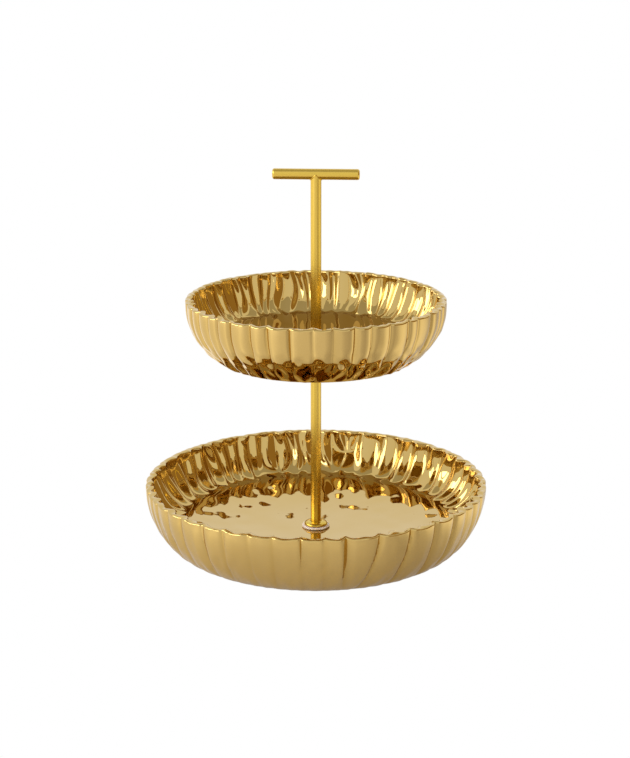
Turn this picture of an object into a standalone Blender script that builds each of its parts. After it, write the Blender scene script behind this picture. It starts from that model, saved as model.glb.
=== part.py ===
"""Two-tier cake stand: two pleated bowls clamped on a round post, with a T-handle that screws in.

Sizes are in metres. +Z is up, the stand rests on Z = 0, and the post runs up the Z axis.
"""

import math

import bmesh
import bpy
from mathutils import Matrix

# Clearance between pieces that rest on each other, and round the screw threads.
GAP = 0.0003

# Post and T-handle. The reach runs from the handle rod's foot to the bar's axis.
ROD_RADIUS = 0.004
ROD_END_CHAMFER = 0.0004
POST_LENGTH = 0.1343
HANDLE_REACH = 0.1228
BAR_RADIUS = 0.004
BAR_LENGTH = 0.064
BAR_END_CHAMFER = 0.0008

# Screw threads, drawn as plain cylinders of the thread's outer size.
THREAD_RADIUS = 0.0025
THREAD_PITCH = 0.0008
THREAD_CHAMFER = 0.0005
HANDLE_TURNS = 9.75
STUD_SEAT = 0.008
SCREW_GRIP = 0.010
BORE_END_ROOM = 0.002

# Base screw with its washer, and the room under its head.
HEAD_RADIUS = 0.0048
HEAD_HEIGHT = 0.0024
HEAD_CORNER = 0.0008
HEAD_TO_TABLE = 0.0013
CROSS_WIDTH = 0.0012
CROSS_SPAN = 0.0052
CROSS_DEPTH = 0.0014
WASHER_RADIUS = 0.0075
WASHER_THICKNESS = 0.001

# Gold collars at the ends of the rods, and the gaskets between them and the bowls.
COLLAR_RADIUS = 0.009
COLLAR_WEB = 0.0012
COLLAR_EDGE = 0.0010
COLLAR_HEIGHT = 0.0026
COLLAR_LIP = 0.0008
GASKET_RADIUS = 0.0105
GASKET_THICKNESS = 0.0014

# Bowls. The pleats are upright lobes between narrow creases, deepest at the rim. A floor is flat where
# the gasket sits and dished from there to the wall.
PLEATS = 44
POINTS_PER_PLEAT = 3
RIM_ROUND = 0.0012
RIM_WALL = 0.004
RIM_SCALLOP = 0.0012
FLOOR_THICKNESS = 0.005
FLOOR_SEAT_RADIUS = 0.020
FOOT_RING = 0.006
BOWL_HOLE_RADIUS = 0.0045

LOWER_RIM_RADIUS = 0.130
LOWER_HEIGHT = 0.051
LOWER_FOOT_RADIUS = 0.0984
LOWER_FLOOR_RADIUS = 0.102
LOWER_DISH = 0.006
LOWER_CREASE = 0.0016

UPPER_RIM_RADIUS = 0.0975
UPPER_HEIGHT = 0.0462
UPPER_FOOT_RADIUS = 0.073
UPPER_FLOOR_RADIUS = 0.076
UPPER_DISH = 0.004
UPPER_CREASE = 0.0014
UPPER_RECESS = 0.006

# How a wall leaves its foot: the powers of its outward spread and of its climb.
LOWER_OUTSIDE = (1.14, 1.06)
LOWER_INSIDE = (0.72, 1.06)
UPPER_OUTSIDE = (1.97, 0.80)
UPPER_INSIDE = (0.97, 1.0)
OUTSIDE_TURNS = (72, 54, 36, 18)
INSIDE_TURNS = (16, 34, 52, 70)
DISH_STEPS = 3

ROUND_SIDES = 32
FINE_SIDES = 24

# Heights from the table up to the post's foot. The lower bowl's recess holds the base screw.
HEAD_TOP = HEAD_TO_TABLE + HEAD_HEIGHT
WASHER_BOTTOM = HEAD_TOP + GAP
BASE_GASKET_BOTTOM = WASHER_BOTTOM + WASHER_THICKNESS + GAP
LOWER_RECESS = BASE_GASKET_BOTTOM + GASKET_THICKNESS + GAP
LOWER_GASKET_BOTTOM = LOWER_RECESS + FLOOR_THICKNESS + GAP
FOOT_COLLAR_BOTTOM = LOWER_GASKET_BOTTOM + GASKET_THICKNESS + GAP
POST_BOTTOM = FOOT_COLLAR_BOTTOM + COLLAR_WEB + GAP
SCREW_TOP = POST_BOTTOM + SCREW_GRIP

# Heights from the post's head, through the upper bowl, to the handle bar.
POST_TOP = POST_BOTTOM + POST_LENGTH
HEAD_COLLAR_TOP = POST_TOP + GAP + COLLAR_WEB
SEAT_GASKET_BOTTOM = HEAD_COLLAR_TOP + GAP
UPPER_BASE = SEAT_GASKET_BOTTOM + GASKET_THICKNESS + GAP - UPPER_RECESS
HANDLE_GASKET_BOTTOM = UPPER_BASE + UPPER_RECESS + FLOOR_THICKNESS + GAP
HANDLE_COLLAR_BOTTOM = HANDLE_GASKET_BOTTOM + GASKET_THICKNESS + GAP
HANDLE_ROD_BOTTOM = HANDLE_COLLAR_BOTTOM + COLLAR_WEB + GAP
BAR_HEIGHT = HANDLE_ROD_BOTTOM + HANDLE_REACH
STUD_BOTTOM = POST_TOP - HANDLE_TURNS * THREAD_PITCH
STUD_TOP = HANDLE_ROD_BOTTOM + STUD_SEAT

THREAD_HOLE = THREAD_RADIUS + GAP


def add_collection(name):
    """A collection linked to the scene."""
    collection = bpy.data.collections.new(name)
    bpy.context.scene.collection.children.link(collection)
    return collection


def add_empty(name, height):
    """A point on the Z axis that a moving group hangs on."""
    empty = bpy.data.objects.new(name, None)
    empty.location.z = height
    stand.objects.link(empty)
    return empty


def add_material(name, colour, roughness, metallic):
    """A plain Principled BSDF finish."""
    material = bpy.data.materials.new(name)
    material.use_nodes = True
    shader = material.node_tree.nodes["Principled BSDF"]
    shader.inputs["Base Color"].default_value = (*colour, 1)
    shader.inputs["Roughness"].default_value = roughness
    shader.inputs["Metallic"].default_value = metallic
    return material


def add_piece(name, mesh, height, material, parent=None):
    """A named piece on the Z axis, hung on its parent if it moves."""
    piece = bpy.data.objects.new(name, mesh)
    stand.objects.link(piece)
    piece.location.z = height
    if parent:
        piece.parent = parent
        piece.location.z = height - parent.location.z
    if not mesh.materials:
        mesh.materials.append(material)
    return piece


def shade(mesh, degrees=35):
    """Shades the round faces smooth and keeps the corners sharp."""
    mesh.shade_smooth()
    mesh.set_sharp_from_angle(angle=math.radians(degrees))


def turned_mesh(name, profile, closed, sides):
    """A turned mesh: its profile of (radius, height) points runs down the outer side."""
    outline = bpy.data.meshes.new(f"{name}_outline")
    edges = [(i, i + 1) for i in range(len(profile) - 1)]
    if closed:
        edges.append((len(profile) - 1, 0))
    outline.from_pydata([(radius, 0, height) for radius, height in profile], edges, [])
    blank = bpy.data.objects.new(f"{name}_blank", outline)
    stand.objects.link(blank)
    screw = blank.modifiers.new("turn", "SCREW")
    screw.axis = "Z"
    screw.steps = sides
    screw.render_steps = sides
    screw.use_merge_vertices = True
    screw.merge_threshold = 0.00001
    bpy.context.view_layer.update()
    evaluated = blank.evaluated_get(bpy.context.evaluated_depsgraph_get())
    mesh = bpy.data.meshes.new_from_object(evaluated)
    mesh.name = name
    bpy.data.objects.remove(blank)
    shade(mesh)
    return mesh


def cylinder_mesh(name, radius, length, sides):
    """A capped cylinder that stands on the origin."""
    shape = bmesh.new()
    raised = Matrix.Translation((0, 0, length / 2))
    bmesh.ops.create_cone(
        shape, cap_ends=True, segments=sides, radius1=radius, radius2=radius, depth=length, matrix=raised
    )
    mesh = bpy.data.meshes.new(name)
    shape.to_mesh(mesh)
    shape.free()
    shade(mesh)
    return mesh


def add_cutter(name, mesh, height):
    """A helper on the Z axis that shapes a piece and isn't one itself."""
    cutter = bpy.data.objects.new(name, mesh)
    cutters.objects.link(cutter)
    cutter.location.z = height
    cutter.hide_render = True
    cutter.display_type = "WIRE"
    return cutter


def cut(piece, cutter):
    """Takes the cutter's shape out of the piece."""
    boolean = piece.modifiers.new(f"cut by {cutter.name}", "BOOLEAN")
    boolean.operation = "DIFFERENCE"
    boolean.object = cutter


def bore(piece, radius, low, high):
    """Bores the piece along the Z axis between two heights."""
    name = f"{piece.name}_bore_{len(piece.modifiers)}"
    cut(piece, add_cutter(name, cylinder_mesh(name, radius, high - low, FINE_SIDES), low))


def chamfer(piece, width, segments=1):
    """Breaks the piece's sharp edges."""
    bevel = piece.modifiers.new("chamfer", "BEVEL")
    bevel.width = width
    bevel.segments = segments
    bevel.limit_method = "ANGLE"
    bevel.angle_limit = math.radians(60)


def wall(foot, top, powers, turns):
    """Points of a bowl's wall between its foot and its top, which are (radius, height) pairs."""
    spread, climb = powers
    points = []
    for turn in turns:
        angle = math.radians(turn)
        radius = foot[0] + (top[0] - foot[0]) * math.sin(angle) ** spread
        height = foot[1] + (top[1] - foot[1]) * (1 - math.cos(angle) ** climb)
        points.append((radius, height))
    return points


def dished_floor(floor, floor_radius, dish):
    """Points of a bowl's floor from its seat out to the wall, as (radius, height) pairs."""
    points = []
    for step in range(DISH_STEPS + 1):
        share = step / DISH_STEPS
        radius = FLOOR_SEAT_RADIUS + (floor_radius - FLOOR_SEAT_RADIUS) * share
        points.append((radius, floor + dish * share**2))
    return points


def bowl_profile(sizes, recess, outside, inside):
    """A bowl's section, from the middle of its floor over the rim to the middle of its recess."""
    rim_radius, rim, foot_radius, floor_radius, dish, _ = sizes
    floor = recess + FLOOR_THICKNESS
    inner_rim = rim_radius - RIM_WALL
    shoulder = rim - RIM_ROUND
    ring_radius = foot_radius - FOOT_RING
    return [
        (0, floor),
        *dished_floor(floor, floor_radius, dish),
        *wall((floor_radius, floor + dish), (inner_rim, shoulder), inside, INSIDE_TURNS),
        (inner_rim, shoulder),
        (inner_rim + RIM_ROUND, rim),
        (rim_radius - RIM_ROUND, rim),
        (rim_radius, shoulder),
        *wall((foot_radius, 0), (rim_radius, shoulder), outside, OUTSIDE_TURNS),
        (foot_radius, 0),
        (ring_radius, 0),
        (ring_radius, recess),
        (0, recess),
    ]


def crease_depth(angle):
    """How deep in a crease a direction lies: 1 at its bottom, 0 on the crown of a lobe."""
    crown = math.cos(math.pi / POINTS_PER_PLEAT / 2)
    lobe = abs(math.cos(PLEATS * angle / 2)) / crown
    return max(0, 1 - lobe**0.6)


def press_pleats(mesh, rim, flat_radius, crease):
    """Draws the wall in along the creases, outside the flat radius, and dips the rim over them."""
    for vertex in mesh.vertices:
        x, y, z = vertex.co
        radius = math.hypot(x, y)
        if radius <= flat_radius:
            continue
        depth = crease_depth(math.atan2(y, x))
        drawn = 1 - crease * depth * math.sin(z / rim * math.pi / 2) / radius
        dip = RIM_SCALLOP * depth if z > rim - 2 * RIM_ROUND else 0
        vertex.co = (x * drawn, y * drawn, z - dip)
    mesh.update()


def add_bowl(name, base, sizes, recess, outside, inside, parent=None):
    """A pleated bowl on a ring foot, with a hole in its middle for the thread."""
    _, height, foot_radius, floor_radius, _, crease = sizes
    sides = PLEATS * POINTS_PER_PLEAT
    mesh = turned_mesh(name, bowl_profile(sizes, recess, outside, inside), False, sides)
    # Half a step of turn sets every lobe's two crown points evenly about its middle.
    mesh.transform(Matrix.Rotation(math.pi / sides, 4, "Z"))
    press_pleats(mesh, height, max(foot_radius, floor_radius), crease)
    bowl = add_piece(name, mesh, base, mirror_gold, parent)
    ceiling = base + recess
    bore(bowl, BOWL_HOLE_RADIUS, ceiling - GAP, ceiling + FLOOR_THICKNESS + GAP)


def ring_mesh(name, outer, thickness):
    """A flat ring that stands on the origin, with room for the thread."""
    profile = [(THREAD_HOLE, thickness), (outer, thickness), (outer, 0), (THREAD_HOLE, 0)]
    return turned_mesh(name, profile, True, ROUND_SIDES)


def collar_mesh():
    """A domed collar, flat below, with a cup on top that takes a rod's end."""
    cup = ROD_RADIUS + GAP
    lip = cup + COLLAR_LIP
    shoulder = (lip + COLLAR_RADIUS) / 2
    shoulder_height = COLLAR_EDGE + (COLLAR_HEIGHT - COLLAR_EDGE) * 0.45
    profile = [
        (THREAD_HOLE, COLLAR_WEB),
        (cup, COLLAR_WEB),
        (cup, COLLAR_HEIGHT),
        (lip, COLLAR_HEIGHT),
        (shoulder, shoulder_height),
        (COLLAR_RADIUS, COLLAR_EDGE),
        (COLLAR_RADIUS, 0),
        (THREAD_HOLE, 0),
    ]
    return turned_mesh("collar", profile, True, ROUND_SIDES)


def add_post():
    """The lower rod, tapped at both ends."""
    mesh = cylinder_mesh("centre_post", ROD_RADIUS, POST_LENGTH, ROUND_SIDES)
    post = add_piece("centre_post", mesh, POST_BOTTOM, satin_gold)
    chamfer(post, ROD_END_CHAMFER)
    bore(post, THREAD_HOLE, POST_BOTTOM - GAP, SCREW_TOP + BORE_END_ROOM)
    bore(post, THREAD_HOLE, STUD_BOTTOM - BORE_END_ROOM, POST_TOP + GAP)


def add_handle_rod():
    """The upper rod: tapped below, and coped above to saddle the bar."""
    mesh = cylinder_mesh("handle_rod", ROD_RADIUS, HANDLE_REACH, ROUND_SIDES)
    rod = add_piece("handle_rod", mesh, HANDLE_ROD_BOTTOM, satin_gold, handle)
    chamfer(rod, ROD_END_CHAMFER)
    bore(rod, THREAD_HOLE, HANDLE_ROD_BOTTOM - GAP, STUD_TOP + GAP)
    saddle = cylinder_mesh("saddle", BAR_RADIUS + GAP, BAR_LENGTH, ROUND_SIDES)
    saddle.transform(Matrix.Translation((0, 0, -BAR_LENGTH / 2)))
    cutter = add_cutter("saddle", saddle, BAR_HEIGHT)
    cutter.rotation_euler.y = math.pi / 2
    cut(rod, cutter)


def add_handle_bar():
    """The crosspiece that a hand holds and turns, with rounded ends."""
    mesh = cylinder_mesh("handle_bar", BAR_RADIUS, BAR_LENGTH, ROUND_SIDES)
    mesh.transform(Matrix.Translation((0, 0, -BAR_LENGTH / 2)))
    bar = add_piece("handle_bar", mesh, BAR_HEIGHT, satin_gold, handle)
    bar.rotation_euler.y = math.pi / 2
    chamfer(bar, BAR_END_CHAMFER, segments=2)


def add_handle_stud():
    """The threaded stud that joins the handle to the post through the upper bowl."""
    mesh = cylinder_mesh("handle_stud", THREAD_RADIUS, STUD_TOP - STUD_BOTTOM, FINE_SIDES)
    stud = add_piece("handle_stud", mesh, STUD_BOTTOM, zinc_steel, handle)
    chamfer(stud, THREAD_CHAMFER)


def add_base_screw():
    """The pan-head screw that holds the lower bowl to the post from below."""
    profile = [
        (0, SCREW_TOP),
        (THREAD_RADIUS - THREAD_CHAMFER, SCREW_TOP),
        (THREAD_RADIUS, SCREW_TOP - THREAD_CHAMFER),
        (THREAD_RADIUS, HEAD_TOP),
        (HEAD_RADIUS, HEAD_TOP),
        (HEAD_RADIUS, HEAD_TO_TABLE + HEAD_CORNER),
        (HEAD_RADIUS - HEAD_CORNER, HEAD_TO_TABLE),
        (0, HEAD_TO_TABLE),
    ]
    screw = add_piece("base_screw", turned_mesh("base_screw", profile, False, FINE_SIDES), 0, zinc_steel)
    # The driver's cross is two slots that reach from below the head up into it.
    for name, size_x, size_y in (("slot_x", CROSS_SPAN, CROSS_WIDTH), ("slot_y", CROSS_WIDTH, CROSS_SPAN)):
        shape = bmesh.new()
        bmesh.ops.create_cube(shape, size=1, matrix=Matrix.Diagonal((size_x, size_y, 2 * CROSS_DEPTH, 1)))
        mesh = bpy.data.meshes.new(name)
        shape.to_mesh(mesh)
        shape.free()
        cut(screw, add_cutter(name, mesh, HEAD_TO_TABLE))


for old in list(bpy.data.objects):
    bpy.data.objects.remove(old)
stand = add_collection("cake_stand")
cutters = add_collection("cutters")

mirror_gold = add_material("mirror_gold", (0.70, 0.47, 0.16), 0.05, 1.0)
satin_gold = add_material("satin_gold", (0.72, 0.53, 0.14), 0.28, 1.0)
clear_silicone = add_material("clear_silicone", (0.88, 0.82, 0.76), 0.45, 0.0)
zinc_steel = add_material("zinc_steel", (0.62, 0.62, 0.60), 0.35, 1.0)

upper_tier = add_empty("upper_tier", UPPER_BASE)
handle = add_empty("handle", HANDLE_COLLAR_BOTTOM)

# A bowl's sizes: rim radius, height, foot radius, floor radius, depth of the dish, depth of a crease.
lower_sizes = (
    LOWER_RIM_RADIUS, LOWER_HEIGHT, LOWER_FOOT_RADIUS, LOWER_FLOOR_RADIUS, LOWER_DISH, LOWER_CREASE
)
upper_sizes = (
    UPPER_RIM_RADIUS, UPPER_HEIGHT, UPPER_FOOT_RADIUS, UPPER_FLOOR_RADIUS, UPPER_DISH, UPPER_CREASE
)
add_bowl("lower_bowl", 0, lower_sizes, LOWER_RECESS, LOWER_OUTSIDE, LOWER_INSIDE)
add_bowl("upper_bowl", UPPER_BASE, upper_sizes, UPPER_RECESS, UPPER_OUTSIDE, UPPER_INSIDE, upper_tier)

gasket = ring_mesh("gasket", GASKET_RADIUS, GASKET_THICKNESS)
add_piece("base_gasket", gasket, BASE_GASKET_BOTTOM, clear_silicone)
add_piece("lower_bowl_gasket", gasket, LOWER_GASKET_BOTTOM, clear_silicone)
add_piece("upper_seat_gasket", gasket, SEAT_GASKET_BOTTOM, clear_silicone)
add_piece("handle_gasket", gasket, HANDLE_GASKET_BOTTOM, clear_silicone, upper_tier)

collar = collar_mesh()
add_piece("post_foot_collar", collar, FOOT_COLLAR_BOTTOM, satin_gold)
add_piece("post_head_collar", collar, HEAD_COLLAR_TOP, satin_gold).rotation_euler.x = math.pi
add_piece("handle_collar", collar, HANDLE_COLLAR_BOTTOM, satin_gold, handle)

add_post()
add_handle_rod()
add_handle_bar()
add_handle_stud()
add_piece("base_washer", ring_mesh("base_washer", WASHER_RADIUS, WASHER_THICKNESS), WASHER_BOTTOM, zinc_steel)
add_base_screw()
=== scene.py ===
import math
import random

import bmesh
import bpy
import numpy as np
from mathutils import Matrix, Vector


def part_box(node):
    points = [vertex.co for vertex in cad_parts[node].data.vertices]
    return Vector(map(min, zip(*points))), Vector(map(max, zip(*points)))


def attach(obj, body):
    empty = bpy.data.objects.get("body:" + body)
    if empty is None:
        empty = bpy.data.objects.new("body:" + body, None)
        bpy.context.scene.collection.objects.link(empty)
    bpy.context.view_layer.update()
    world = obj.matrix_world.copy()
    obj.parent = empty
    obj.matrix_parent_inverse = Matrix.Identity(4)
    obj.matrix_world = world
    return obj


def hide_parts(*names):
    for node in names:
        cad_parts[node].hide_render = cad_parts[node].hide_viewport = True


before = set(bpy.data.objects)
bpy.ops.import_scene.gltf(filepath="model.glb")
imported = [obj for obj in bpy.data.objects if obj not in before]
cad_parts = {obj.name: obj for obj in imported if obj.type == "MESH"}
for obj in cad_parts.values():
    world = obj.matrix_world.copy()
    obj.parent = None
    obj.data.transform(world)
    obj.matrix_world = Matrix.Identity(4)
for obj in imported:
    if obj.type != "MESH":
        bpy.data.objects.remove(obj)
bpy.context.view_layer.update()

# Sizes are in metres, in the frame of the CAD model.
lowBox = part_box("lower_bowl")
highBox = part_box("upper_bowl")
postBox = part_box("centre_post")
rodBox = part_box("handle_rod")
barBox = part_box("handle_bar")
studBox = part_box("handle_stud")
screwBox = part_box("base_screw")

millimetre = 0.001
rodRadius = (postBox[1].x - postBox[0].x) / 2
barRadius = (barBox[1].z - barBox[0].z) / 2 - 0.00001
barAxis = (barBox[1].z + barBox[0].z) / 2
threadRadius = (studBox[1].x - studBox[0].x) / 2
boreRadius = threadRadius + 0.3 * millimetre


# ---- shared shaping code ----


def smooth(value, low, high):
    share = np.clip((value - low) / (high - low), 0, 1)
    return share * share * (3 - 2 * share)


def swell(x, y, size, seed, waves=7):
    # Gentle irregular waves of about that size, from -2 to 2 or so.
    dice = random.Random(seed)
    total = np.zeros_like(x)
    for _ in range(waves):
        heading = dice.uniform(0, math.tau)
        length = size * dice.uniform(0.7, 1.5)
        phase = dice.uniform(0, math.tau)
        total += np.cos((x * math.cos(heading) + y * math.sin(heading)) * math.tau / length + phase)
    return total / math.sqrt(waves)


def lathe(points, steps):
    # Spins (radius, height) points about the Z axis; each vertex keeps its place along the section.
    mesh = bmesh.new()
    station = mesh.verts.layers.float.new("station")
    line = []
    for index, (radius, height) in enumerate(points):
        vertex = mesh.verts.new((radius, 0, height))
        vertex[station] = index
        line.append(vertex)
    edges = [mesh.edges.new(pair) for pair in zip(line, line[1:])]
    # An eighth of a turn is spun, then doubled three times, which is far quicker than one long spin.
    part = math.tau / 8
    bmesh.ops.spin(mesh, geom=line + edges, cent=(0, 0, 0), axis=(0, 0, 1), angle=part, steps=steps // 8)
    for _ in range(3):
        copy = bmesh.ops.duplicate(mesh, geom=mesh.verts[:] + mesh.edges[:] + mesh.faces[:])
        fresh = [item for item in copy["geom"] if isinstance(item, bmesh.types.BMVert)]
        bmesh.ops.rotate(mesh, verts=fresh, cent=(0, 0, 0), matrix=Matrix.Rotation(part, 3, "Z"))
        part *= 2
    bmesh.ops.remove_doubles(mesh, verts=mesh.verts, dist=1e-6)
    bmesh.ops.recalc_face_normals(mesh, faces=mesh.faces)
    return mesh


def arc(centre, radius, start, stop, count):
    # Points of an arc in the section plane, in degrees from the +radius direction.
    rows = []
    for step in range(count + 1):
        angle = math.radians(start + (stop - start) * step / count)
        rows.append((centre[0] + radius * math.cos(angle), centre[1] + radius * math.sin(angle)))
    return rows


def addPiece(name, mesh, body, material, stands, sharp=40):
    data = bpy.data.meshes.new(name)
    mesh.to_mesh(data)
    mesh.free()
    data.materials.append(material)
    data.shade_smooth()
    data.set_sharp_from_angle(angle=math.radians(sharp))
    piece = bpy.data.objects.new(name, data)
    bpy.context.scene.collection.objects.link(piece)
    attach(piece, body)
    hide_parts(*stands)
    return piece


# ---- materials ----


def startMaterial(name, colour, roughness, metallic):
    material = bpy.data.materials.new(name)
    material.use_nodes = True
    shader = material.node_tree.nodes["Principled BSDF"]
    shader.inputs["Base Color"].default_value = (*colour, 1)
    shader.inputs["Roughness"].default_value = roughness
    shader.inputs["Metallic"].default_value = metallic
    return material, material.node_tree, shader


def addNode(tree, kind, **settings):
    node = tree.nodes.new(kind)
    for key, value in settings.items():
        setattr(node, key, value)
    return node


def feed(tree, node, **values):
    # Sets or links sockets by name, with underscores for spaces.
    for key, value in values.items():
        socket = node.inputs[key.replace("_", " ")] if not key.startswith("i") or not key[1:].isdigit() else node.inputs[int(key[1:])]
        if isinstance(value, bpy.types.NodeSocket):
            tree.links.new(value, socket)
        else:
            socket.default_value = value
    return node


def newGroup(name, inputs, outputs):
    group = bpy.data.node_groups.new(name, "ShaderNodeTree")
    for label, kind, value in inputs:
        socket = group.interface.new_socket(name=label, in_out="INPUT", socket_type=kind)
        if value is not None:
            socket.default_value = value
    for label, kind in outputs:
        group.interface.new_socket(name=label, in_out="OUTPUT", socket_type=kind)
    return group, group.nodes.new("NodeGroupInput"), group.nodes.new("NodeGroupOutput")


def makeUnevenGroup():
    # Slow and fine unevenness of a surface: a bump height and a 0 to 1 tone.
    group, source, result = newGroup(
        "uneven surface",
        [
            ("Vector", "NodeSocketVector", None),
            ("Coarse", "NodeSocketFloat", 60),
            ("Fine", "NodeSocketFloat", 700),
            ("Grit", "NodeSocketFloat", 0.12),
        ],
        [("Tone", "NodeSocketFloat"), ("Height", "NodeSocketFloat")],
    )
    coarse = addNode(group, "ShaderNodeTexNoise")
    feed(group, coarse, Vector=source.outputs["Vector"], Scale=source.outputs["Coarse"], Detail=2.0)
    fine = addNode(group, "ShaderNodeTexNoise")
    feed(group, fine, Vector=source.outputs["Vector"], Scale=source.outputs["Fine"], Detail=3.0)
    mix = addNode(group, "ShaderNodeMath", operation="MULTIPLY_ADD")
    feed(group, mix, i0=fine.outputs[0], i1=source.outputs["Grit"], i2=coarse.outputs[0])
    feed(group, result, Tone=coarse.outputs[0], Height=mix.outputs[0])
    return group


def makePitGroup():
    # Sparse pinholes, as left by bubbles in a glaze: 1 in a pit, 0 elsewhere.
    group, source, result = newGroup(
        "pinholes",
        [("Vector", "NodeSocketVector", None), ("Scale", "NodeSocketFloat", 120), ("Size", "NodeSocketFloat", 0.03)],
        [("Pit", "NodeSocketFloat")],
    )
    cells = addNode(group, "ShaderNodeTexVoronoi", feature="F1")
    feed(group, cells, Vector=source.outputs["Vector"], Scale=source.outputs["Scale"], Randomness=1.0)
    inside = addNode(group, "ShaderNodeMapRange")
    feed(group, inside, Value=cells.outputs["Distance"], i2=source.outputs["Size"], i1=0.0, i3=1.0, i4=0.0)
    split = addNode(group, "ShaderNodeSeparateColor")
    feed(group, split, Color=cells.outputs["Color"])
    rare = addNode(group, "ShaderNodeMath", operation="LESS_THAN")
    feed(group, rare, i0=split.outputs[0], i1=0.2)
    both = addNode(group, "ShaderNodeMath", operation="MULTIPLY")
    feed(group, both, i0=inside.outputs[0], i1=rare.outputs[0])
    feed(group, result, Pit=both.outputs[0])
    return group


def makeBrushGroup():
    # Fine scratches along one direction, set by the mapping's scale.
    group, source, result = newGroup(
        "brushed grain",
        [("Stretch", "NodeSocketVector", (1, 1, 0.02)), ("Density", "NodeSocketFloat", 2600)],
        [("Grain", "NodeSocketFloat"), ("Band", "NodeSocketFloat")],
    )
    place = addNode(group, "ShaderNodeTexCoord")
    mapping = addNode(group, "ShaderNodeMapping", vector_type="POINT")
    feed(group, mapping, Vector=place.outputs["Object"], Scale=source.outputs["Stretch"])
    grain = addNode(group, "ShaderNodeTexNoise")
    feed(group, grain, Vector=mapping.outputs[0], Scale=source.outputs["Density"], Detail=3.0, Roughness=0.65)
    slow = addNode(group, "ShaderNodeMath", operation="MULTIPLY")
    feed(group, slow, i0=source.outputs["Density"], i1=0.14)
    band = addNode(group, "ShaderNodeTexNoise")
    feed(group, band, Vector=mapping.outputs[0], Scale=slow.outputs[0], Detail=2.0)
    feed(group, result, Grain=grain.outputs[0], Band=band.outputs[0])
    return group


unevenGroup = makeUnevenGroup()
pitGroup = makePitGroup()
brushGroup = makeBrushGroup()


def useGroup(tree, group):
    return addNode(tree, "ShaderNodeGroup", node_tree=group)


def ramp(tree, factor, stops):
    node = addNode(tree, "ShaderNodeValToRGB")
    elements = node.color_ramp.elements
    while len(elements) < len(stops):
        elements.new(0.5)
    for element, (place, colour) in zip(elements, stops):
        element.position = place
        element.color = (*colour, 1)
    tree.links.new(factor, node.inputs[0])
    return node


def mapRange(tree, value, low, high):
    node = addNode(tree, "ShaderNodeMapRange")
    feed(tree, node, Value=value, i1=0.3, i2=0.7, i3=low, i4=high)
    return node


def bump(tree, height, strength, distance, under=None):
    node = addNode(tree, "ShaderNodeBump")
    feed(tree, node, Height=height, Strength=strength, Distance=distance)
    if under is not None:
        tree.links.new(under, node.inputs["Normal"])
    return node


goldLook = {
    "colour": (0.590, 0.415, 0.142),
    "thin": (0.610, 0.435, 0.160),
    # The darkest gold is painted shade, used in the creases and hollows.
    "shadedCrease": (0.545, 0.365, 0.105),
    "roughness": 0.018,
    "clay": (0.78, 0.72, 0.63),
}


def makeGlaze():
    material, tree, shader = startMaterial("mirror_gold_glaze", goldLook["colour"], 0.04, 1.0)
    place = addNode(tree, "ShaderNodeTexCoord")
    uneven = useGroup(tree, unevenGroup)
    feed(tree, uneven, Vector=place.outputs["Object"], Coarse=75.0, Fine=900.0, Grit=0.0)
    pits = useGroup(tree, pitGroup)
    feed(tree, pits, Vector=place.outputs["Object"], Scale=95.0, Size=0.035)
    # Painted shade: the gold darkens where a mesh attribute marks creases and hollows; the coarse noise only varies
    # the tone at random.
    paintedCreaseShade = addNode(tree, "ShaderNodeAttribute", attribute_name="paintedCreaseShade")
    bare = addNode(tree, "ShaderNodeAttribute", attribute_name="bare")
    depth = addNode(tree, "ShaderNodeMath", operation="MULTIPLY_ADD", use_clamp=True)
    feed(tree, depth, i0=uneven.outputs["Tone"], i1=0.35, i2=paintedCreaseShade.outputs["Fac"])
    gold = ramp(tree, depth.outputs[0], [(0.0, goldLook["thin"]), (0.35, goldLook["colour"]), (1.0, goldLook["shadedCrease"])])
    clay = ramp(tree, uneven.outputs["Tone"], [(0.35, goldLook["clay"]), (0.65, (0.84, 0.79, 0.71))])
    colour = addNode(tree, "ShaderNodeMix", data_type="RGBA")
    feed(tree, colour, i0=bare.outputs["Fac"], i6=gold.outputs[0], i7=clay.outputs[0])
    tree.links.new(colour.outputs[2], shader.inputs["Base Color"])
    metal = addNode(tree, "ShaderNodeMath", operation="SUBTRACT", use_clamp=True)
    feed(tree, metal, i0=1.0, i1=bare.outputs["Fac"])
    tree.links.new(metal.outputs[0], shader.inputs["Metallic"])
    polish = mapRange(tree, uneven.outputs["Tone"], goldLook["roughness"] - 0.01, goldLook["roughness"] + 0.02)
    rough = addNode(tree, "ShaderNodeMath", operation="MULTIPLY_ADD", use_clamp=True)
    feed(tree, rough, i0=bare.outputs["Fac"], i1=0.7, i2=polish.outputs[0])
    dull = addNode(tree, "ShaderNodeMath", operation="MULTIPLY_ADD", use_clamp=True)
    feed(tree, dull, i0=pits.outputs["Pit"], i1=0.3, i2=rough.outputs[0])
    tree.links.new(dull.outputs[0], shader.inputs["Roughness"])
    skin = bump(tree, uneven.outputs["Height"], 0.06, 0.0008)
    sunk = addNode(tree, "ShaderNodeMath", operation="SUBTRACT")
    feed(tree, sunk, i0=0.0, i1=pits.outputs["Pit"])
    pitted = bump(tree, sunk.outputs[0], 0.5, 0.0002, skin.outputs[0])
    tree.links.new(pitted.outputs[0], shader.inputs["Normal"])
    return material


def makeSatin(name, stretch, roughness, colours, density=2600.0):
    material, tree, shader = startMaterial(name, colours[1], roughness, 1.0)
    brushed = useGroup(tree, brushGroup)
    feed(tree, brushed, Stretch=stretch, Density=density)
    tone = ramp(tree, brushed.outputs["Band"], [(0.3, colours[0]), (0.55, colours[1]), (0.75, colours[2])])
    tree.links.new(tone.outputs[0], shader.inputs["Base Color"])
    rough = mapRange(tree, brushed.outputs["Grain"], roughness - 0.05, roughness + 0.05)
    tree.links.new(rough.outputs[0], shader.inputs["Roughness"])
    line = bump(tree, brushed.outputs["Grain"], 0.06, 0.0001)
    tree.links.new(line.outputs[0], shader.inputs["Normal"])
    return material


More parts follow.
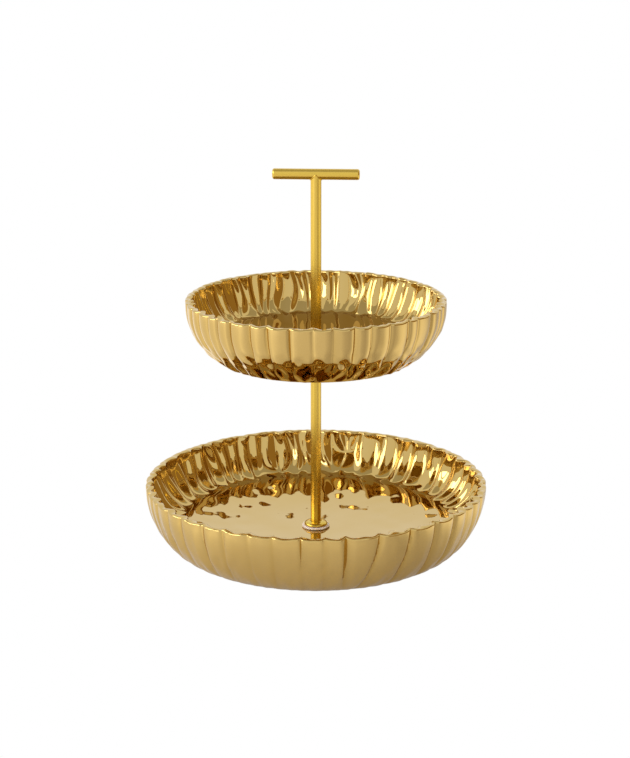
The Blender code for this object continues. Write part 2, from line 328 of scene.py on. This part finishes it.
def makeSilicone():
    material, tree, shader = startMaterial("clear_silicone", (0.90, 0.80, 0.74), 0.4, 0.0)
    shader.inputs["Subsurface Weight"].default_value = 0.35
    shader.inputs["Subsurface Radius"].default_value = (0.004, 0.003, 0.0025)
    shader.inputs["Subsurface Scale"].default_value = 1.0
    shader.inputs["IOR"].default_value = 1.41
    place = addNode(tree, "ShaderNodeTexCoord")
    uneven = useGroup(tree, unevenGroup)
    feed(tree, uneven, Vector=place.outputs["Object"], Coarse=350.0, Fine=2500.0)
    tone = ramp(tree, uneven.outputs["Tone"], [(0.3, (0.86, 0.68, 0.58)), (0.7, (0.92, 0.77, 0.68))])
    tree.links.new(tone.outputs[0], shader.inputs["Base Color"])
    rough = mapRange(tree, uneven.outputs["Tone"], 0.34, 0.5)
    tree.links.new(rough.outputs[0], shader.inputs["Roughness"])
    skin = bump(tree, uneven.outputs["Height"], 0.15, 0.0002)
    tree.links.new(skin.outputs[0], shader.inputs["Normal"])
    return material


goldTones = ((0.64, 0.44, 0.065), (0.70, 0.485, 0.085), (0.75, 0.53, 0.12))
steelTones = ((0.50, 0.50, 0.49), (0.62, 0.62, 0.61), (0.72, 0.72, 0.72))
glaze = makeGlaze()
satinUpright = makeSatin("satin_gold_upright", (1.0, 1.0, 0.02), 0.24, goldTones)
satinAcross = makeSatin("satin_gold_across", (0.02, 1.0, 1.0), 0.24, goldTones)
satinTurned = makeSatin("satin_gold_turned", (0.15, 0.15, 1.0), 0.16, goldTones, 3200.0)
zincSteel = makeSatin("zinc_steel", (0.2, 0.2, 1.0), 0.32, steelTones, 1800.0)
silicone = makeSilicone()
print("materials made")


# ---- the two bowls ----

lowerBowl = {
    "name": "pleated_bowl_lower",
    "node": "lower_bowl",
    "body": "base",
    "rim": 0.1296,
    "height": 0.051,
    "foot": 0.0984,
    "floorRadius": 0.098,
    "dish": 0.0066,
    "recess": 0.007,
    "outside": (1.14, 1.06),
    "inside": (0.78, 1.30),
    "pleats": 45,
    "moreRidges": 13,
    "seed": 11,
    "groove": 0.0011,
    "ruffle": 0.0003,
    "ridge": 0.0034,
    "room": 0.0105,
    "slant": 0.034,
    # Extra creases that run aslant: direction in degrees and lean outside.
    "aslant": ((-66, -0.15), (-52, -0.10), (-38, -0.07), (-24, -0.06)),
}
upperBowl = {
    "name": "pleated_bowl_upper",
    "node": "upper_bowl",
    "body": "upper_tier",
    "rim": 0.0971,
    "height": 0.0462,
    "foot": 0.073,
    "floorRadius": 0.074,
    "dish": 0.0042,
    "recess": 0.006,
    "outside": (1.97, 0.80),
    "inside": (0.97, 1.30),
    "pleats": 44,
    "moreRidges": 14,
    "seed": 29,
    "groove": 0.0010,
    "ruffle": 0.0006,
    "ridge": 0.0026,
    "room": 0.0085,
    "slant": 0.040,
    "aslant": ((-150, 0.10), (-28, -0.08)),
}
bowlShape = {
    "steps": 720,
    "wall": 0.004,
    "lip": 0.0017,
    "floorThickness": 0.005,
    "seat": 0.020,
    "footRing": 0.006,
    "hole": 0.0045,
    "cusp": 0.0011,
    "lobe": 0.0021,
    "bead": 0.0003,
}


def bowlSection(bowl):
    # The section from the hole, over the floor, up the inside, over the lip and down to the foot ring.
    shape = bowlShape
    floor = bowl["recess"] + shape["floorThickness"]
    rim, height = bowl["rim"], bowl["height"]
    innerRim = rim - shape["wall"]
    shoulder = height - shape["lip"]
    rows = []

    def put(zone, share, radius, level):
        rows.append((zone, share, radius, level))

    hole = shape["hole"]
    put("hole", 0, hole, bowl["recess"] + 0.0004)
    put("hole", 0, hole, floor - 0.0005)
    put("hole", 0, hole + 0.00015, floor - 0.00015)
    put("floor", 0, hole + 0.0005, floor)
    for radius in (0.008, 0.0115, 0.0155, shape["seat"]):
        put("floor", 0, radius, floor)
    count = 26
    for step in range(1, count + 1):
        share = step / count
        radius = shape["seat"] + (bowl["floorRadius"] - shape["seat"]) * share
        put("floor", share, radius, floor + bowl["dish"] * share**2)
    foot = (bowl["floorRadius"], floor + bowl["dish"])
    spread, climb = bowl["inside"]
    count = 30
    for step in range(1, count + 1):
        share = step / count
        angle = math.radians(90 * share)
        radius = foot[0] + (innerRim - foot[0]) * math.sin(angle) ** spread
        level = foot[1] + (shoulder - foot[1]) * (1 - math.cos(angle) ** climb)
        put("inside", share, radius, level)
    half = shape["wall"] / 2
    for step in range(1, 12):
        angle = math.pi * step / 12
        put("lip", step / 12, rim - half - half * math.cos(angle), shoulder + shape["lip"] * math.sin(angle) ** 0.8)
    spread, climb = bowl["outside"]
    count = 26
    for step in range(count + 1):
        share = 1 - step / count
        angle = math.radians(90 * share)
        radius = bowl["foot"] + (rim - bowl["foot"]) * math.sin(angle) ** spread
        level = shoulder * (1 - math.cos(angle) ** climb)
        put("outside", share, radius, max(level, 0.0005))
    foot = bowl["foot"]
    ring = foot - shape["footRing"]
    put("foot", 0, foot - 0.0005, 0.0001)
    put("bare", 0, foot - 0.0011, 0)
    put("bare", 0, ring + 0.0014, 0)
    put("foot", 0, ring + 0.0005, 0.0003)
    put("foot", 0, ring, 0.0012)
    put("foot", 0, ring, bowl["recess"] - 0.0015)
    put("foot", 0, ring - 0.0006, bowl["recess"] - 0.0004)
    put("foot", 0, ring - 0.002, bowl["recess"])
    put("foot", 0, ring * 0.6, bowl["recess"])
    put("foot", 0, 0.012, bowl["recess"])
    put("hole", 0, hole + 0.0004, bowl["recess"])
    put("hole", 0, hole, bowl["recess"] + 0.0004)
    return rows


def turnTo(angles, other):
    return (angles - other + math.pi) % math.tau - math.pi


def draws(dice, count, low, high):
    return np.array([dice.uniform(low, high) for _ in range(count)])


def spread(dice, count, uneven):
    # Directions all around, unevenly apart.
    widths = draws(dice, count, 1 - uneven, 1 + uneven)
    return np.cumsum(widths) * math.tau / widths.sum()


def ripple(bowl, angles, level, size, extra, slope=0.6):
    # Irregular waves of about that size that close on themselves around a bowl.
    dice = random.Random(bowl["seed"] + extra)
    total = np.zeros_like(angles)
    for _ in range(7):
        around = round(math.tau * bowl["rim"] / (size * dice.uniform(0.7, 1.5)))
        upward = dice.uniform(-slope, slope) * math.tau / size
        total += np.cos(around * angles + upward * level + dice.uniform(0, math.tau))
    return total / math.sqrt(7)


def makeCreases(bowl):
    # Hand-pressed creases of the outside: each has its own place, strength and lean.
    dice = random.Random(bowl["seed"])
    count = bowl["pleats"]
    creases = {
        "angle": spread(dice, count, 0.40),
        "groove": draws(dice, count, 0.25, 1.0) ** 1.2,
        "lean": draws(dice, count, -0.6, 0.6) * bowl["slant"],
        "end": draws(dice, count, 0.0, 0.35),
        "pinch": draws(dice, count, 0.3, 1.1),
        "lobe": draws(dice, count, 0.4, 1.25),
    }
    for direction, lean in bowl["aslant"]:
        nearest = np.argmin(np.abs(turnTo(creases["angle"], math.radians(direction))))
        creases["lean"][nearest] = lean
        creases["groove"][nearest] = 1.1
        creases["end"][nearest] = 0
    return creases


def makeRidges(bowl, creases):
    # Ridges of the inside: one behind each crease, and more in the widest spaces between them.
    dice = random.Random(bowl["seed"] + 7)
    more = bowl["moreRidges"]
    count = len(creases["angle"]) + more
    gaps = (np.roll(creases["angle"], -1) - creases["angle"]) % math.tau
    widest = np.argsort(gaps)[-more:]
    added = creases["angle"][widest] + gaps[widest] * draws(dice, more, 0.38, 0.62)
    return {
        "angle": np.concatenate([creases["angle"], added]),
        "height": draws(dice, count, 0.6, 1.2),
        "lean": draws(dice, count, -1.5, 1.5) * bowl["slant"],
        "sway": draws(dice, count, -2.2, 2.2) * bowl["slant"],
        "phase": draws(dice, count, 0, math.tau),
        "foot": draws(dice, count, 0.0, 0.18),
    }


def between(angles, lines):
    # For each direction: the lines before and after it, and how far it is from one to the other.
    order = np.argsort(lines % math.tau)
    spot = np.searchsorted((lines % math.tau)[order], angles) % len(order)
    before, after = order[spot - 1], order[spot]
    back = (angles - lines[before]) % math.tau
    ahead = (lines[after] - angles) % math.tau
    return before, after, back / (back + ahead)


def pressed(angles, radius, lines, strength, reach, power=2.0):
    # The summed depth, at one height, of creases that pass it in these directions.
    away = np.abs(turnTo(angles[:, None], lines[None, :])) * radius
    return (strength * np.exp(-((away / reach) ** power))).sum(axis=1)


def crown(place, values, power):
    # 0 on the crown of a lobe, and a crease's own value at its bottom.
    before, after, across = place
    edge = values[before] * (1 - across) + values[after] * across
    return edge * (1 - (4 * across * (1 - across)) ** power)


def hump(across):
    return np.cos(math.pi * np.clip(across, 0, 0.5)) ** 2


def outsideInset(bowl, creases, angles, radius, level, rise):
    lines = creases["angle"] + creases["lean"] * (1 - rise) ** 1.5
    fade = smooth(rise, creases["end"] * 0.5, creases["end"] + 0.25)
    cut = pressed(angles, radius, lines, creases["groove"] * fade, 0.0015, 1.5)
    lobes = crown(between(angles, lines), creases["lobe"], 0.6) * smooth(rise, 0.0, 0.6)
    calm = smooth(rise, 0.02, 0.2) * (1 - 0.65 * smooth(rise, 0.75, 1.0))
    slow = ripple(bowl, angles, level, 0.028, 5) * 0.00016 * calm
    streaks = ripple(bowl, angles, level, 0.011, 6, 0.08) * 0.00020 * calm
    quick = ripple(bowl, angles, level, 0.014, 8, 1.3) * bowl["ruffle"]
    quick *= smooth(rise, 0.02, 0.1) * (1 - smooth(rise, 0.55, 0.9))
    inset = bowl["groove"] * cut + bowlShape["lobe"] * lobes + slow + streaks + quick
    return inset, np.clip(cut, 0, 1)


def insideInset(bowl, ridges, angles, radius, rise):
    # Rounded flutes: each ridge falls away to the middle of the hollow beside it.
    swaying = ridges["sway"] * np.sin(ridges["phase"] + 5 * rise)
    lines = (ridges["angle"] + (ridges["lean"] + swaying) * (1 - rise)) % math.tau
    fade = smooth(rise, ridges["foot"] * 0.3, ridges["foot"] + 0.14)
    varied = 1 + 0.25 * np.sin(ridges["phase"] * 3 + rise * 6)
    # A ridge that is crowded by its neighbour is lower.
    order = np.argsort(lines)
    gaps = (np.roll(lines[order], -1) - lines[order]) % math.tau
    room = np.zeros(len(lines))
    room[order] = np.minimum(gaps, np.roll(gaps, 1)) * radius
    high = ridges["height"] * fade * varied * np.clip(room / bowl["room"], 0, 1.15)
    before, after, across = between(angles, lines)
    pull = high[before] * hump(across) + high[after] * hump(1 - across)
    return bowl["ridge"] * pull, np.clip(1 - pull, 0, 1)


def shapeBowl(bowl):
    rows = bowlSection(bowl)
    mesh = lathe([(radius, level) for _, _, radius, level in rows], bowlShape["steps"])
    station = mesh.verts.layers.float["station"]
    # Painted shade for creases and hollows, read by the glaze.
    paintedCreaseShade = mesh.verts.layers.float.new("paintedCreaseShade")
    bare = mesh.verts.layers.float.new("bare")
    creases = makeCreases(bowl)
    ridges = makeRidges(bowl, creases)
    rings = {}
    for vertex in mesh.verts:
        rings.setdefault(int(round(vertex[station])), []).append(vertex)
    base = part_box(bowl["node"])[0].z
    for index, (zone, share, radius, level) in enumerate(rows):
        ring = rings.get(index)
        if not ring:
            continue
        angles = np.array([math.atan2(v.co.y, v.co.x) for v in ring]) % math.tau
        x, y = radius * np.cos(angles), radius * np.sin(angles)
        radii = np.full(len(ring), radius)
        levels = np.full(len(ring), level)
        paintedShadeAmounts = np.zeros(len(ring))
        if zone == "floor":
            calm = smooth(radius, 0.012, 0.024)
            levels += calm * 0.00010 * swell(x, y, 0.040, bowl["seed"] + 1)
            outward = smooth(radius, 0.03, 0.8 * bowl["floorRadius"])
            levels += calm * 0.00007 * swell(x, y, 0.020, bowl["seed"] + 2) * outward
        if zone == "inside":
            inset, valley = insideInset(bowl, ridges, angles, radius, share)
            radii -= inset
            # Painted shade in the hollows between the inside ridges.
            paintedShadeAmounts += valley * 0.25
            calm = smooth(share, 0.0, 0.2) * (1 - smooth(share, 0.8, 1.0))
            radii += 0.0003 * ripple(bowl, angles, level, 0.020, 3) * calm
            # The foot of the wall meets the floor in a wandering ledge.
            ledge = math.exp(-(((share - 0.10) / 0.10) ** 2))
            radii += 0.0009 * ledge * ripple(bowl, angles, 0, 0.022, 4)
        if zone == "outside":
            inset, groove = outsideInset(bowl, creases, angles, radius, level, share)
            radii -= inset
            # Painted shade in the outside creases.
            paintedShadeAmounts += groove * 0.8
        if zone == "lip":
            outer, _ = outsideInset(bowl, creases, angles, radius, level, 1.0)
            inner, _ = insideInset(bowl, ridges, angles, radius, 1.0)
            blend = smooth(share, 0.0, 1.0)
            radii -= blend * outer + (1 - blend) * inner
            bead = ripple(bowl, angles, 0, 0.009, 9)
            levels -= bowlShape["bead"] * (1 - bead / 2) * math.sin(math.pi * share)
        if zone in ("inside", "outside", "lip"):
            near = 1.0 if zone == "lip" else smooth(share, 0.75, 1.0)
            place = between(angles, creases["angle"])
            # The rim stands a little higher where a crease pinches it in.
            levels -= near * bowlShape["cusp"] * (1.1 - crown(place, creases["pinch"], 0.7))
        for i, vertex in enumerate(ring):
            vertex.co = (radii[i] * math.cos(angles[i]), radii[i] * math.sin(angles[i]), base + levels[i])
            vertex[paintedCreaseShade] = float(paintedShadeAmounts[i])
            vertex[bare] = 1.0 if zone == "bare" else 0.0
    bmesh.ops.recalc_face_normals(mesh, faces=mesh.faces)
    return addPiece(bowl["name"], mesh, bowl["body"], glaze, [bowl["node"]], sharp=60)


shapeBowl(lowerBowl)
shapeBowl(upperBowl)
print("bowls made")


# ---- rods, handle and their collars ----


def rodSection(radius, low, high, bores):
    # A rod's section at its low end, with a broken edge, and a bore there where asked.
    edge = 0.0004
    rows = []
    if "low" in bores:
        depth = bores["low"]
        rows += [(0.00001, low + depth), (boreRadius, low + depth - 0.0008), (boreRadius, low + 0.0003), (boreRadius + 0.0003, low)]
    else:
        rows += [(0.00001, low)]
    rows += [(radius - edge, low), (radius - edge * 0.3, low + edge * 0.3), (radius, low + edge)]
    return rows


def addPost():
    low, high = postBox[0].z, postBox[1].z
    depthLow = screwBox[1].z + 0.002 - low
    depthHigh = high - (studBox[0].z - 0.002)
    rows = [(0, low + depthLow + 0.001), (boreRadius, low + depthLow), (boreRadius, low + 0.0004), (boreRadius + 0.0004, low)]
    rows += arc((rodRadius - 0.0004, low + 0.0004), 0.0004, -90, 0, 4)
    for step in range(1, 8):
        rows.append((rodRadius, low + 0.0004 + (high - low - 0.0008) * step / 8))
    rows += arc((rodRadius - 0.0004, high - 0.0004), 0.0004, 0, 90, 4)
    rows += [(boreRadius + 0.0004, high), (boreRadius, high - 0.0004), (boreRadius, high - depthHigh), (0, high - depthHigh - 0.001)]
    addPiece("centre_post_rod", lathe(rows, 96), "base", satinUpright, ["centre_post"])


def addHandleRod():
    low = rodBox[0].z
    depth = studBox[1].z - low + 0.0003
    rows = [(0, low + depth + 0.0005), (boreRadius, low + depth), (boreRadius, low + 0.0004), (boreRadius + 0.0004, low)]
    rows += arc((rodRadius - 0.0004, low + 0.0004), 0.0004, -90, 0, 4)
    top = barAxis - barRadius
    for step in range(1, 10):
        rows.append((rodRadius, low + 0.0004 + (top - 0.004 - low) * step / 10))
    marks = len(rows)
    rows += [(rodRadius, top - 0.0016), (rodRadius, top - 0.0008), (rodRadius + 0.00005, top - 0.0004), (rodRadius + 0.0002, top)]
    rows += [(rodRadius * 0.7, top), (rodRadius * 0.35, top), (0, top)]
    mesh = lathe(rows, 96)
    station = mesh.verts.layers.float["station"]
    for vertex in mesh.verts:
        index = vertex[station]
        if index < marks:
            continue
        # The rod's end rises to saddle the round bar.
        side = min(abs(vertex.co.y), barRadius)
        lift = barRadius - math.sqrt(max(barRadius**2 - side**2, 0))
        shares = {marks: 0.25, marks + 1: 0.6, marks + 2: 0.85}
        vertex.co.z += lift * shares.get(int(round(index)), 1.0)
    addPiece("handle_rod_coped", mesh, "handle", satinUpright, ["handle_rod"])


def addHandleBar():
    half = (barBox[1].x - barBox[0].x) / 2
    edge = 0.0016
    rows = [(0, -half), (barRadius * 0.3, -half + 0.00002), (barRadius - edge, -half + 0.0001)]
    rows += arc((barRadius - edge, -half + 0.0001 + edge), edge, -90, 0, 7)[1:]
    for step in range(1, 12):
        rows.append((barRadius, -half + edge + (2 * half - 2 * edge) * step / 12))
    mirrored = [(radius, -level) for radius, level in reversed(rows[: 3 + 7])]
    rows += mirrored
    mesh = lathe(rows, 96)
    bmesh.ops.rotate(mesh, verts=mesh.verts, cent=(0, 0, 0), matrix=Matrix.Rotation(math.pi / 2, 3, "Y"))
    bmesh.ops.translate(mesh, verts=mesh.verts, vec=(0, 0, barAxis))
    addPiece("handle_bar_rounded", mesh, "handle", satinAcross, ["handle_bar"])


def addBraze():
    # A thin bead of braze in the corner between the rod and the bar.
    mesh = bmesh.new()
    bmesh.ops.create_circle(mesh, segments=12, radius=0.00045, matrix=Matrix.Translation((rodRadius + 0.0001, 0, 0)) @ Matrix.Rotation(math.pi / 2, 4, "X"))
    bmesh.ops.spin(
        mesh, geom=mesh.verts[:] + mesh.edges[:], cent=(0, 0, 0), axis=(0, 0, 1), angle=math.tau, steps=96, use_merge=True
    )
    bmesh.ops.remove_doubles(mesh, verts=mesh.verts, dist=1e-7)
    bmesh.ops.recalc_face_normals(mesh, faces=mesh.faces)
    for vertex in mesh.verts:
        angle = math.atan2(vertex.co.y, vertex.co.x)
        side = abs(math.sin(angle)) * rodRadius
        vertex.co.z += barAxis - math.sqrt(max(barRadius**2 - side**2, 0)) - 0.0001
    piece = addPiece("handle_braze", mesh, "handle", satinTurned, ["handle_rod"])
    return piece


collarLook = {"height": 0.0026, "edge": 0.0010, "web": 0.0012}


def addCollar(name, node, body, upright=True):
    low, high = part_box(node)
    outer = (high.x - low.x) / 2
    cup = rodRadius + 0.0001
    bottom, top = (low.z, high.z)
    rows = [(boreRadius, collarLook["web"]), (cup, collarLook["web"]), (cup, collarLook["height"] - 0.0001)]
    rows += [(cup + 0.0002, collarLook["height"])]
    rows += [(cup + 0.0005, collarLook["height"] - 0.00015)]
    # The dome: a quarter of an oval from the neck out to the edge.
    for step in range(1, 13):
        angle = math.radians(90 * (1 - step / 12))
        radius = cup + 0.0005 + (outer - 0.0003 - cup - 0.0005) * math.cos(angle)
        rows.append((radius, 0.0005 + (collarLook["height"] - 0.00065) * math.sin(angle) ** 0.9))
    rows += arc((outer - 0.0004, 0.0005), 0.0004, 0, -90, 4)
    rows += [(boreRadius + 0.0002, 0), (boreRadius, 0.0002), (boreRadius, collarLook["web"])]
    mesh = lathe(rows, 128)
    if not upright:
        bmesh.ops.rotate(mesh, verts=mesh.verts, cent=(0, 0, 0), matrix=Matrix.Rotation(math.pi, 3, "X"))
    bmesh.ops.translate(mesh, verts=mesh.verts, vec=(0, 0, bottom if upright else top))
    addPiece(name, mesh, body, satinTurned, [node])


def addRing(name, node, body, material, fillet, dishing=0.0):
    low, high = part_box(node)
    outer = (high.x - low.x) / 2
    thickness = high.z - low.z
    rows = [(boreRadius, low.z + fillet)]
    rows += [(boreRadius, high.z - fillet), (boreRadius + fillet, high.z)]
    rows += [(outer * 0.6, high.z - dishing)]
    rows += arc((outer - fillet, high.z - fillet), fillet, 90, 0, 5)
    rows += arc((outer - fillet, low.z + fillet), fillet, 0, -90, 5)
    rows += [(outer * 0.6, low.z), (boreRadius + fillet, low.z), (boreRadius, low.z + fillet)]
    addPiece(name, lathe(rows, 112), body, material, [node])
    return thickness


def threadRows(low, high, radius, pitch, perTurn):
    count = int((high - low) / pitch * perTurn)
    return [(radius, low + (high - low) * step / count) for step in range(count + 1)]


def cutThread(mesh, first, last, low, high, pitch, depth):
    # Draws the rows between two stations in along a helix.
    station = mesh.verts.layers.float["station"]
    for vertex in mesh.verts:
        index = int(round(vertex[station]))
        if index < first or index > last:
            continue
        radius = math.hypot(vertex.co.x, vertex.co.y)
        turn = (vertex.co.z / pitch - math.atan2(vertex.co.y, vertex.co.x) / math.tau) % 1
        valley = 1 - abs(2 * turn - 1)
        ends = min((vertex.co.z - low) / pitch, (high - vertex.co.z) / pitch, 1)
        drawn = (radius - depth * valley * max(ends, 0.15)) / radius
        vertex.co.x *= drawn
        vertex.co.y *= drawn


def addStud():
    low, high = studBox[0].z, studBox[1].z
    edge = 0.0005
    rows = [(0, low), (threadRadius - edge, low)]
    body = threadRows(low + edge, high - edge, threadRadius, 0.0008, 8)
    first = len(rows)
    rows += body
    last = len(rows) - 1
    rows += [(threadRadius - edge, high), (0, high)]
    mesh = lathe(rows, 40)
    cutThread(mesh, first, last, low, high, 0.0008, 0.0004)
    addPiece("handle_stud_threaded", mesh, "handle", zincSteel, ["handle_stud"])


def addScrew():
    low, high = screwBox[0].z, screwBox[1].z
    headRadius = (screwBox[1].x - screwBox[0].x) / 2
    headTop = low + 0.0024
    edge = 0.0005
    rows = [(0, high), (threadRadius - edge, high)]
    first = len(rows)
    rows += list(reversed(threadRows(headTop + 0.002, high - edge, threadRadius, 0.0008, 8)))
    last = len(rows) - 1
    rows += [(threadRadius - 0.0003, headTop + 0.0016), (threadRadius - 0.0003, headTop + 0.0003), (threadRadius, headTop)]
    rows += arc((headRadius - 0.0003, headTop - 0.0003), 0.0003, 90, 0, 3)
    rows += arc((headRadius - 0.0012, low + 0.0012), 0.0012, 0, -80, 6)
    rows += [(headRadius * 0.5, low), (0.00005, low)]
    mesh = lathe(rows, 48)
    cutThread(mesh, first, last, headTop + 0.002, high, 0.0008, 0.0004)
    # The driver's cross is pressed up into the head's face.
    span, width = 0.0026, 0.0006
    for normal, offsets in (((1, 0, 0), (-span, -width, width, span)), ((0, 1, 0), (-span, -width, width, span))):
        for offset in offsets:
            faces = [f for f in mesh.faces if f.calc_center_median().z < low + 0.0006]
            geometry = faces + list({e for f in faces for e in f.edges}) + list({v for f in faces for v in f.verts})
            bmesh.ops.bisect_plane(mesh, geom=geometry, dist=1e-7, plane_co=Vector(normal) * offset, plane_no=normal)
    pressed = []
    for face in mesh.faces:
        middle = face.calc_center_median()
        inX = abs(middle.x) < span and abs(middle.y) < width
        inY = abs(middle.y) < span and abs(middle.x) < width
        if middle.z < low + 0.0006 and (inX or inY):
            pressed.append(face)
    grown = bmesh.ops.extrude_face_region(mesh, geom=pressed)
    raised = [item for item in grown["geom"] if isinstance(item, bmesh.types.BMVert)]
    bmesh.ops.translate(mesh, verts=raised, vec=(0, 0, 0.0013))
    bmesh.ops.scale(mesh, verts=raised, vec=(0.72, 0.72, 1.0))
    bmesh.ops.delete(mesh, geom=pressed, context="FACES_ONLY") if all(f.is_valid for f in pressed) else None
    bmesh.ops.recalc_face_normals(mesh, faces=mesh.faces)
    addPiece("base_screw_threaded", mesh, "base", zincSteel, ["base_screw"])


addPost()
addHandleRod()
addHandleBar()
addBraze()
addCollar("post_foot_dome", "post_foot_collar", "base")
addCollar("post_head_dome", "post_head_collar", "base", upright=False)
addCollar("handle_dome", "handle_collar", "collar")
addRing("base_gasket_ring", "base_gasket", "base", silicone, 0.0004)
addRing("lower_gasket_ring", "lower_bowl_gasket", "base", silicone, 0.0004)
addRing("seat_gasket_ring", "upper_seat_gasket", "base", silicone, 0.0004)
addRing("handle_gasket_ring", "handle_gasket", "upper_tier", silicone, 0.0004)
addRing("base_washer_ring", "base_washer", "base", zincSteel, 0.0002)
addStud()
addScrew()
print("rods, collars and fastenings made")


# ---- floor, light and camera ----

floorMesh = bmesh.new()
bmesh.ops.create_grid(floorMesh, x_segments=8, y_segments=8, size=9)
floorData = bpy.data.meshes.new("studio_floor")
floorMesh.to_mesh(floorData)
floorMesh.free()
floorLook, floorTree, floorShader = startMaterial("studio_floor", (0.88, 0.85, 0.83), 0.9, 0.0)
floorShader.inputs["Specular IOR Level"].default_value = 0.0
floorShader.inputs["Emission Strength"].default_value = 1.0
# Seen straight on the floor is an even white sheet; in reflections it is a pale table with soft shadows.
seen = addNode(floorTree, "ShaderNodeLightPath")
tableTone = addNode(floorTree, "ShaderNodeMix", data_type="RGBA")
feed(floorTree, tableTone, i0=seen.outputs["Is Camera Ray"], i6=(0.42, 0.40, 0.39, 1), i7=(0, 0, 0, 1))
floorTree.links.new(tableTone.outputs[2], floorShader.inputs["Base Color"])
# The table is brighter toward the windows and darker on the other side, by direction from the stand.
floorPlace = addNode(floorTree, "ShaderNodeTexCoord")
floorAxes = addNode(floorTree, "ShaderNodeSeparateXYZ")
feed(floorTree, floorAxes, Vector=floorPlace.outputs["Object"])
away = addNode(floorTree, "ShaderNodeVectorMath", operation="LENGTH")
feed(floorTree, away, i0=floorPlace.outputs["Object"])
sideways = addNode(floorTree, "ShaderNodeMath", operation="DIVIDE")
feed(floorTree, sideways, i0=floorAxes.outputs["X"], i1=away.outputs["Value"])
aside = addNode(floorTree, "ShaderNodeMapRange")
feed(floorTree, aside, Value=sideways.outputs[0], i1=-1.0, i2=1.0, i3=0.0, i4=1.0)
tableTones = (
    (0.0, (0.66, 0.64, 0.60)),
    (0.05, (0.72, 0.70, 0.67)),
    (0.13, (0.88, 0.86, 0.82)),
    (0.24, (0.64, 0.62, 0.60)),
    (0.35, (0.55, 0.53, 0.51)),
    (0.64, (0.54, 0.52, 0.50)),
    (0.76, (0.36, 0.34, 0.33)),
    (0.86, (0.26, 0.24, 0.23)),
    (0.93, (0.45, 0.43, 0.40)),
    (1.0, (0.95, 0.92, 0.86)),
)
glow = ramp(floorTree, aside.outputs[0], tableTones)
# The stand's own shadow darkens the table around its foot.
outward = addNode(floorTree, "ShaderNodeMapRange")
feed(floorTree, outward, Value=away.outputs["Value"], i1=0.10, i2=0.21, i3=0.0, i4=1.0)
shaded = addNode(floorTree, "ShaderNodeMix", data_type="RGBA")
feed(floorTree, shaded, i0=outward.outputs[0], i6=(0.27, 0.25, 0.24, 1), i7=glow.outputs[0])
sheetTone = addNode(floorTree, "ShaderNodeMix", data_type="RGBA")
feed(floorTree, sheetTone, i0=seen.outputs["Is Camera Ray"], i6=shaded.outputs[2], i7=(1, 1, 1, 1))
floorTree.links.new(sheetTone.outputs[2], floorShader.inputs["Emission Color"])
floorData.materials.append(floorLook)
floor = bpy.data.objects.new("studio_floor", floorData)
floor.location.z = -0.0004
bpy.context.scene.collection.objects.link(floor)

def addCard(name, size, place, turn, tone):
    # A plain sheet out of view that tones what the glaze reflects.
    mesh = bmesh.new()
    matrix = Matrix.Translation(place) @ Matrix.Rotation(turn[1], 4, turn[0]) @ Matrix.Diagonal((size[0], size[1], 1, 1))
    bmesh.ops.create_grid(mesh, x_segments=2, y_segments=2, size=0.5, matrix=matrix)
    data = bpy.data.meshes.new(name)
    mesh.to_mesh(data)
    mesh.free()
    look, tree, shader = startMaterial(name, (0, 0, 0), 1.0, 0.0)
    shader.inputs["Specular IOR Level"].default_value = 0.0
    shader.inputs["Emission Strength"].default_value = 1.0
    # From any side it is as white as the room; only reflections see its tone.
    seen = addNode(tree, "ShaderNodeLightPath")
    shown = addNode(tree, "ShaderNodeMix", data_type="RGBA")
    feed(tree, shown, i0=seen.outputs["Is Camera Ray"], i6=(*tone, 1), i7=(1, 1, 1, 1))
    tree.links.new(shown.outputs[2], shader.inputs["Emission Color"])
    data.materials.append(look)
    card = bpy.data.objects.new(name, data)
    bpy.context.scene.collection.objects.link(card)


addCard("studio_ceiling", (2.6, 2.6), (0, 0, 2.4), ("X", 0), (0.55, 0.53, 0.49))
addCard("studio_side", (2.6, 4.0), (2.2, -0.4, 1.35), ("Y", math.pi / 2), (0.42, 0.26, 0.08))

world = bpy.data.worlds.new("studio")
bpy.context.scene.world = world
world.use_nodes = True
world.node_tree.nodes["Background"].inputs["Color"].default_value = (1, 1, 1, 1)
world.node_tree.nodes["Background"].inputs["Strength"].default_value = 1.0

# Tall window panels to the left of the stand: place, width, height and radiance of each.
windows = [
    ((-2.38, 0.25, 1.3), 0.66, 1.25, 3.6),
    ((-2.28, -0.65, 1.3), 0.70, 1.25, 4.2),
    ((-1.88, -1.48, 1.3), 0.70, 1.25, 4.2),
]
for number, (place, width, height, radiance) in enumerate(windows):
    data = bpy.data.lights.new(f"window_{number}", "AREA")
    data.shape = "RECTANGLE"
    data.size = width
    data.size_y = height
    data.energy = radiance * math.pi * width * height
    lamp = bpy.data.objects.new(f"window_{number}", data)
    lamp.location = place
    toward = Vector((0, 0, 0.1)) - Vector(place)
    lamp.rotation_euler = toward.to_track_quat("-Z", "Y").to_euler()
    bpy.context.scene.collection.objects.link(lamp)

cameraLook = {"place": (0.0785, -1.3205, 0.5063), "aim": (-0.0007, 0, 0.1295), "lens": 86.94}
cameraData = bpy.data.cameras.new("camera")
cameraData.lens = cameraLook["lens"]
cameraData.sensor_width = 36
camera = bpy.data.objects.new("camera", cameraData)
camera.location = cameraLook["place"]
facing = Vector(cameraLook["aim"]) - Vector(cameraLook["place"])
camera.rotation_euler = facing.to_track_quat("-Z", "Y").to_euler()
bpy.context.scene.collection.objects.link(camera)
bpy.context.scene.camera = camera
bpy.context.scene.view_settings.view_transform = "Standard"
print("studio made")
